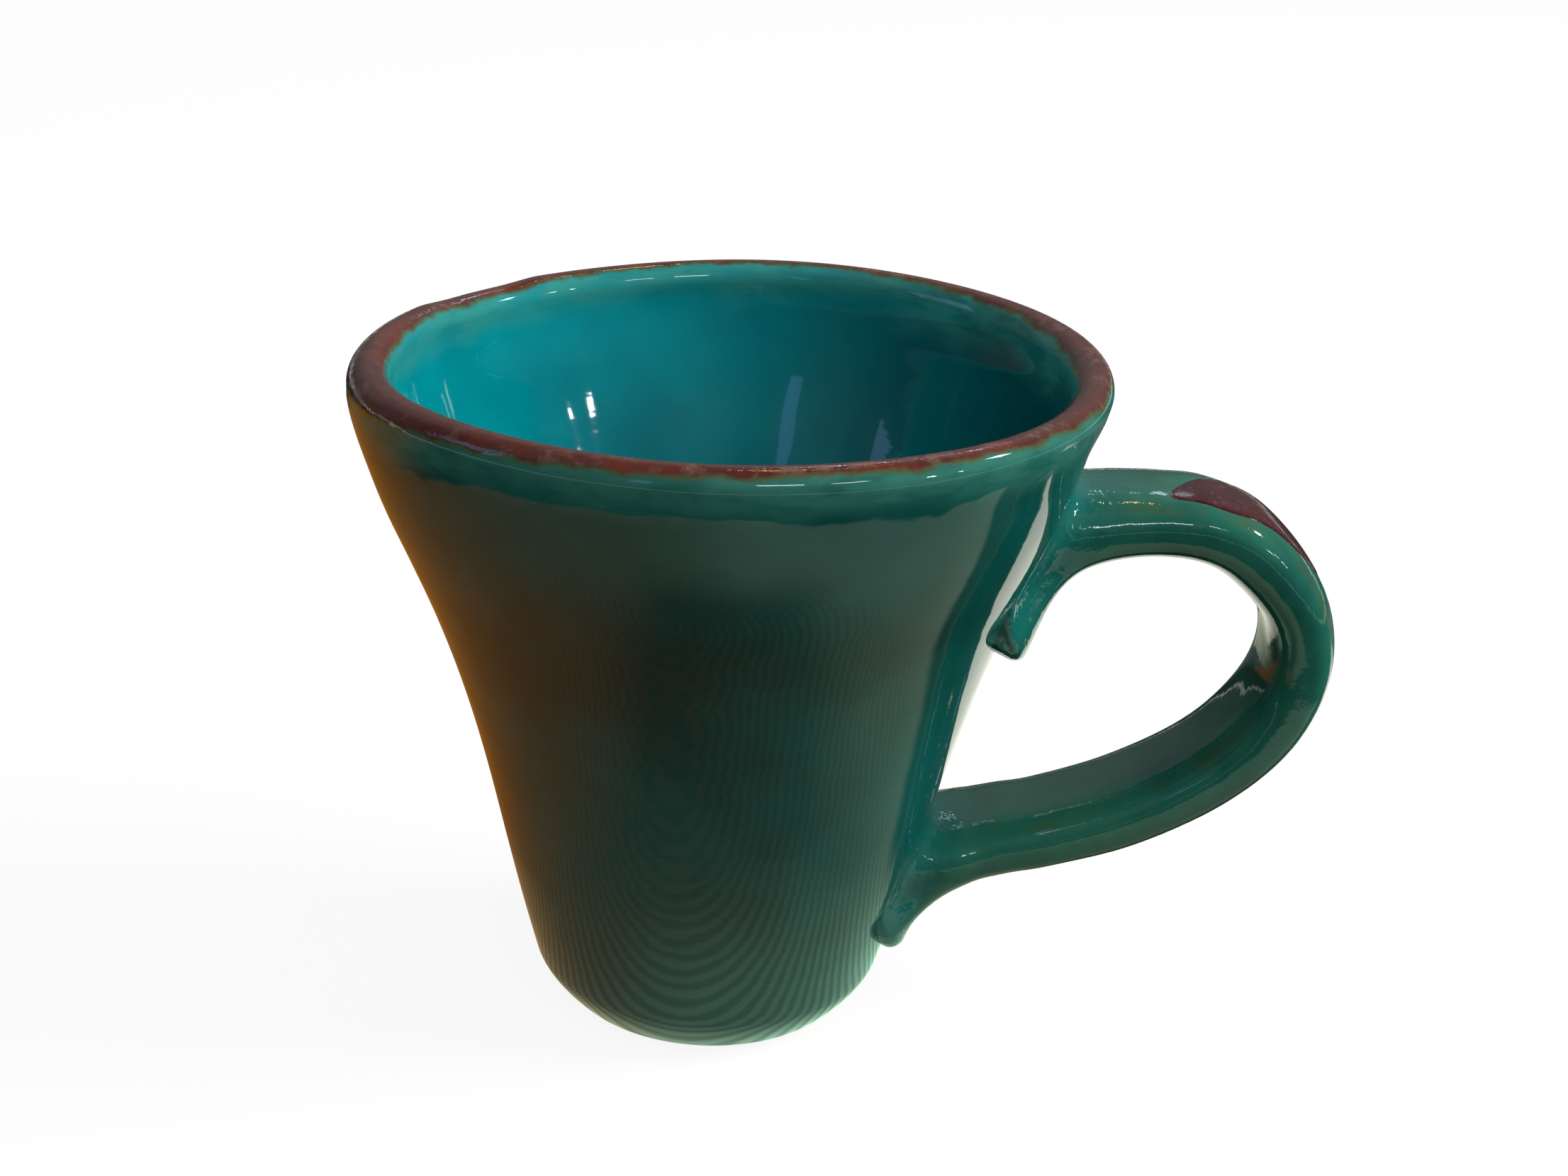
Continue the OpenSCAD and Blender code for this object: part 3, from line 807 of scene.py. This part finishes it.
class MUG_OT_patch(bpy.types.Operator):
    """Brushes the brown patch on the strap's outer face"""
    bl_idname = "mug.patch"
    bl_label = "Brown Patch"

    def execute(self, context):
        cup, handle = context.scene.mug_cup, context.scene.mug_handle
        strap = Strap(handle, cup)
        middle = strap.face_point(PATCH_STATION, 0, 0)
        gap = (strap.face_point(PATCH_STATION + 1, 0, 0) - middle).length
        bm = bmesh.new()
        bmesh.ops.create_circle(bm, cap_ends=True, cap_tris=True, segments=PATCH_SIDES, radius=1)
        spokes = [e for e in bm.edges if not e.is_boundary]
        bmesh.ops.subdivide_edges(bm, edges=spokes, cuts=PATCH_RINGS, use_grid_fill=False)
        for v in bm.verts:
            x, y = v.co.x, v.co.y
            rim = smooth(hypot(x, y), 0.93, 1.0)
            # The brush went on aslant, in a slight bow that starts narrow at the cup's side
            aslant = (1.8 * x - 2.4 * x * x - 0.9) * MM
            narrow = 1 - 0.4 * smooth(-x, 0, 1)
            v.co = strap.face_point(PATCH_STATION + x * handle.patch_l / 2 / gap,
                                    y * handle.patch_w / 2 * narrow + aslant,
                                    (PATCH_PROUD - PATCH_SINK * rim) * MM)
        bmesh.ops.solidify(bm, geom=bm.faces, thickness=PATCH_THICK)
        warp(bm, cup)
        finish_piece(bm, "brown_patch", patch_slip("brushed_patch_slip", context.scene.mug_colours),
                     ["handle_patch"])
        return {"FINISHED"}


def area_lamp(name, watts, size, place):
    """A soft box that shines on the mug. The cards stand for it in the gloss."""
    lamp = bpy.data.lights.new(name, "AREA")
    lamp.energy = watts
    lamp.shape = "RECTANGLE"
    lamp.size, lamp.size_y = size
    holder = bpy.data.objects.new(name, lamp)
    holder.location = place
    holder.rotation_euler = (Vector(AIM) - Vector(place)).to_track_quat("-Z", "Y").to_euler()
    holder.visible_glossy = False
    bpy.context.scene.collection.objects.link(holder)


# The mirrored table and room: their radii, how far the table lies over the floor and the room's
# rim under it, between which distances the table's sheen ends, its dark wood, and how steeply the
# edge of the handle's shade runs back on it
TABLE_R = 0.9
TABLE_LIFT = 0.3 * MM
ROOM_R = 1.6
ROOM_SINK = 0.01
SHEEN_END = (165 * MM, 172 * MM)
TABLE_DARK = "#2a332c"
SHADE_SLOPE = 0.36


def gloss_card(name, bm, material):
    """A card or a room wall that only the gloss of the glaze mirrors."""
    mesh = bpy.data.meshes.new(name)
    bm.to_mesh(mesh)
    bm.free()
    mesh.materials.append(material)
    card = bpy.data.objects.new(name, mesh)
    bpy.context.scene.collection.objects.link(card)
    for rays in ("camera", "diffuse", "shadow", "transmission", "volume_scatter"):
        setattr(card, "visible_" + rays, False)


def window_card(name, size, place, tint, strength):
    """A bright pane, as a window or a lamp shows in the glaze."""
    bm = bmesh.new()
    facing = (Vector(AIM) - Vector(place)).to_track_quat("-Z", "Y").to_matrix().to_4x4()
    sized = Matrix.Diagonal((size[0] / 2, size[1] / 2, 1, 1))
    bmesh.ops.create_grid(bm, x_segments=1, y_segments=1, size=1,
                          matrix=Matrix.Translation(place) @ facing @ sized)
    material, node = new_material(name)
    node("material", node("glow", rgb(tint), strength))
    gloss_card(name, bm, material)


def table_card():
    """The dark grained table top that the real mug stood on, seen only in its glaze.

    Places on it are measured from the middle of the foot, x to the right and y to the back. The
    gloss of the mug's front mirrors what lies before it, and that of its sides what lies behind."""
    bm = bmesh.new()
    bmesh.ops.create_circle(bm, cap_ends=True, segments=64, radius=TABLE_R,
                            matrix=Matrix.Translation((0, 0, TABLE_LIFT)))
    material, node = new_material("mirrored_table")
    coords = node("coordinates")
    place = node("split", coords)
    away = node("distance", coords)

    # Wood, amber on the left and greyer on the right and behind, with a green bounce by the foot
    wood = node("mix", node("ramp", place["X"], -30 * MM, 60 * MM), rgb("#ab6a22"), rgb("#b4b48e"))
    behind = node("multiply", node("ramp", place["Y"], 20 * MM, 80 * MM),
                  node("ramp", place["X"], -50 * MM, -20 * MM))
    wood = node("mix", behind, wood, rgb("#67726f"))
    by_foot = node("multiply", node("ramp", away, 28 * MM, 62 * MM, 0.9, 0.0),
                   node("ramp", place["X"], -35 * MM, 10 * MM, 0.2, 1.0))
    wood = node("mix", by_foot, wood, rgb("#a6dcbc"))

    # Dark arcs of grain round a knot, strongest before the mug's middle
    round_knot = node("stretch", coords, (0.6, 1, 1), (18 * MM, 76 * MM, 0))
    grain = node("rings", round_knot, per(8 * MM), 4.5, 1.0, 0.3)
    middle = node("without_sign", node("add", place["X"], -4 * MM))
    grained = node("multiply", node("ramp", grain, 0.2, 0.8),
                   node("ramp", middle, 25 * MM, 80 * MM, 0.36, 0.14))
    wood = node("mix", grained, wood, rgb("#1d1a12"))

    # The light on it, less in a ring round the foot that the mug itself shades
    light = node("larger", node("ramp", middle, 4 * MM, 60 * MM, 0.0, 1.0),
                 node("ramp", away, 42 * MM, 72 * MM, 1.0, 0.4))
    light = node("larger", light, node("ramp", away, 85 * MM, 125 * MM, 0.4, 1.0))

    # A pale sheen from 80 to 170 mm out, and darkness beyond it in front
    reach = node("add", away, swing(node, node("cloud", coords, per(60 * MM), 2), 50 * MM))
    pale = node("multiply", node("ramp", reach, 78 * MM, 124 * MM),
                node("ramp", reach, *SHEEN_END, 1.0, 0.0))
    pale = node("multiply", pale, node("ramp", place["X"], -70 * MM, 50 * MM, 0.0, 1.0))
    sheen = node("mix", pale, wood, rgb("#c9d0b4"))
    beyond = node("multiply", node("ramp", reach, *SHEEN_END),
                  node("ramp", place["Y"], 100 * MM, -20 * MM))
    sheen = node("mix", beyond, sheen, rgb(TABLE_DARK))
    sheen = node("mix", node("ramp", place["Y"], 200 * MM, 270 * MM), sheen, rgb(TABLE_DARK))

    # Behind the handle the table lies in its shade, and further back it is lit by the window
    ahead = node("subtract", place["Y"], node("multiply", place["X"], SHADE_SLOPE))
    shade = node("multiply", node("ramp", place["Y"], -4 * MM, 4 * MM),
                 node("ramp", place["X"], 40 * MM, 60 * MM))
    shade = node("multiply", shade, node("ramp", ahead, -4 * MM, 1 * MM, 0.9, 0.0))
    bright = node("multiply", node("ramp", place["X"], 25 * MM, 35 * MM),
                  node("ramp", ahead, -1 * MM, 2 * MM))
    bright = node("multiply", bright, node("ramp", place["Y"], 100 * MM, 125 * MM, 1.0, 0.0))
    sheen = node("mix", bright, sheen, rgb("#e6e6d8"))
    light = node("multiply", light, node("subtract", 1.0, shade))
    light = node("add", light, node("multiply", bright, 0.7))
    light = node("add", light, by_foot)
    node("material", node("glow", sheen, light))
    gloss_card("mirrored_table", bm, material)


def room_card():
    """The dim room round the table, lighter towards its ceiling, seen only in the glaze."""
    bm = bmesh.new()
    bmesh.ops.create_uvsphere(bm, u_segments=48, v_segments=24, radius=ROOM_R)
    bmesh.ops.bisect_plane(bm, geom=bm.verts[:] + bm.edges[:] + bm.faces[:],
                           plane_co=(0, 0, -ROOM_SINK), plane_no=(0, 0, -1), clear_outer=True)
    material, node = new_material("mirrored_room")
    coords = node("coordinates")
    place = node("split", coords)
    ceiling = node("ramp", place["Z"], 0.2, 1.5, 0.06, 0.3)
    far_wall = node("ramp", place["Y"], 0.2, 1.4, 0.0, 0.16)
    patches = node("ramp", node("cloud", coords, per(0.9), 1), 0.35, 0.65, 0.55, 1.3)
    light = node("multiply", node("add", ceiling, far_wall), patches)
    node("material", node("glow", rgb("#dfe6e4"), light))
    gloss_card("mirrored_room", bm, material)


# The panes and lamps that sparkle in the gloss: name, size, place, colour and strength
WINDOWS = (
    ("high_window", (0.2, 0.06), (0.2, -0.74, 0.68), "#e8f2ff", 18),
    ("high_window_right", (0.14, 0.05), (0.46, -0.62, 0.66), "#e8f2ff", 14),
    ("side_window", (0.04, 0.06), (0.85, -0.48, 0.46), "#eef5ff", 40),
    ("side_window_low", (0.025, 0.04), (0.9, -0.34, 0.44), "#eef5ff", 40),
    ("left_window", (0.5, 0.3), (-1.05, -0.08, 0.6), "#98bcf4", 1.7),
    ("front_window", (0.1, 0.25), (-0.42, -0.9, 0.58), "#86aaf4", 2),
    ("back_window", (0.1, 0.1), (0.1, 0.9, 0.74), "#dcecff", 6),
    ("back_window_right", (0.06, 0.1), (0.26, 0.88, 0.72), "#dcecff", 5),
    ("warm_lamp", (0.05, 0.04), (0.05, 0.47, 0.88), "#ffcf80", 36),
    ("warm_lamp_middle", (0.03, 0.02), (0.17, 0.47, 0.87), "#ffcf80", 30),
    ("right_window", (0.1, 0.1), (0.72, 0.12, 0.67), "#e8f2ff", 24),
)


# The soft lamps that light the mug at a plain level: name, watts, size and place
LAMPS = (
    ("key", 13, (0.6, 0.6), (0.9, 0.0, 0.7)),
    ("fill", 3.4, (0.8, 0.8), (0.3, -1.0, 1.0)),
)
# What lamps and panes face, the floor's own glow to the eye, and the world's light on the mug
AIM = (0, 0, 60 * MM)
FLOOR_GLOW = 0.9
WORLD_LIGHT = 0.28


def pale_for_eye(node, dim, bright):
    """dim for light that falls on things, bright for what is seen directly or mirrored."""
    rays = node("rays")
    seen = node("add", rays["Is Camera Ray"], rays["Is Glossy Ray"])
    seen = node("add_up_to_one", seen, rays["Is Transmission Ray"])
    return node("add", node("multiply", seen, bright - dim), dim)


class MUG_OT_stage(bpy.types.Operator):
    """Sets the pale floor, the soft lamps and the camera"""
    bl_idname = "mug.stage"
    bl_label = "Stage"

    def execute(self, context):
        scene = context.scene
        stage = scene.mug_stage
        bm = bmesh.new()
        bmesh.ops.create_circle(bm, cap_ends=True, segments=64, radius=stage.floor_r)
        mesh = bpy.data.meshes.new("pale_floor")
        bm.to_mesh(mesh)
        bm.free()
        floor = bpy.data.objects.new("pale_floor", mesh)
        scene.collection.objects.link(floor)
        # Dull paper, grey to the light so that it throws little on the glaze, white to the eye
        material, node = new_material("pale_paper")
        glow = node("glow", WHITE, pale_for_eye(node, 0, FLOOR_GLOW))
        node("material", node("together", node("dull", rgb("#6c6c6a")), glow))
        mesh.materials.append(material)

        world = bpy.data.worlds.new("soft_room")
        scene.world = world
        world.use_nodes = True
        world.node_tree.nodes.clear()
        node = partial(add_node, world.node_tree)
        node("world", node("background", WHITE, pale_for_eye(node, WORLD_LIGHT, 1.0)))

        for name, watts, size, place in LAMPS:
            area_lamp(name, watts, size, place)
        table_card()
        room_card()
        for name, size, place, tint, strength in WINDOWS:
            window_card(name, size, place, tint, strength)

        camera_data = bpy.data.cameras.new("photo_camera")
        camera_data.sensor_fit = "HORIZONTAL"
        camera_data.sensor_width = SENSOR_W
        camera_data.lens = stage.focal_px / stage.image_w * SENSOR_W
        camera_data.clip_start = 0.01
        camera = bpy.data.objects.new("photo_camera", camera_data)
        scene.collection.objects.link(camera)
        forward = Vector((sin(stage.yaw) * cos(stage.pitch), cos(stage.yaw) * cos(stage.pitch),
                          -sin(stage.pitch)))
        right = Vector((cos(stage.yaw), -sin(stage.yaw), 0))
        up = right.cross(forward)
        rolled_right = right * cos(stage.roll) + up * sin(stage.roll)
        rolled_up = up * cos(stage.roll) - right * sin(stage.roll)
        turn = Matrix((rolled_right, rolled_up, -forward)).transposed().to_4x4()
        camera.matrix_world = Matrix.Translation((0, -stage.distance, stage.camera_z)) @ turn
        scene.camera = camera
        scene.view_settings.view_transform = "Standard"
        return {"FINISHED"}


class MUG_PT_panel(bpy.types.Panel):
    """Lists the mug's sizes and the steps that make it."""
    bl_idname = "MUG_PT_panel"
    bl_label = "Glazed Mug"
    bl_space_type = "VIEW_3D"
    bl_region_type = "UI"
    bl_category = "Mug"

    def draw(self, context):
        for name in GROUPS:
            group = getattr(context.scene, name)
            box = self.layout.box()
            for key in group.__annotations__:
                box.prop(group, key)
        for operator in OPERATORS:
            self.layout.operator(operator.bl_idname)


OPERATORS = (MUG_OT_stage, MUG_OT_clay_cup, MUG_OT_glaze_coats, MUG_OT_handle, MUG_OT_patch)
GROUPS = {"mug_cup": CupSizes, "mug_handle": HandleSizes, "mug_colours": GlazeColours,
          "mug_stage": StageSizes}


def register():
    for cls in (*GROUPS.values(), *OPERATORS, MUG_PT_panel):
        bpy.utils.register_class(cls)
    for key, group in GROUPS.items():
        setattr(bpy.types.Scene, key, PointerProperty(type=group))


def unregister():
    for key in GROUPS:
        delattr(bpy.types.Scene, key)
    for cls in (MUG_PT_panel, *reversed(OPERATORS), *reversed(GROUPS.values())):
        bpy.utils.unregister_class(cls)


def main():
    register()
    for operator in OPERATORS:
        area, step = operator.bl_idname.split(".")
        getattr(getattr(bpy.ops, area), step)()


if __name__ == "__main__":
    main()
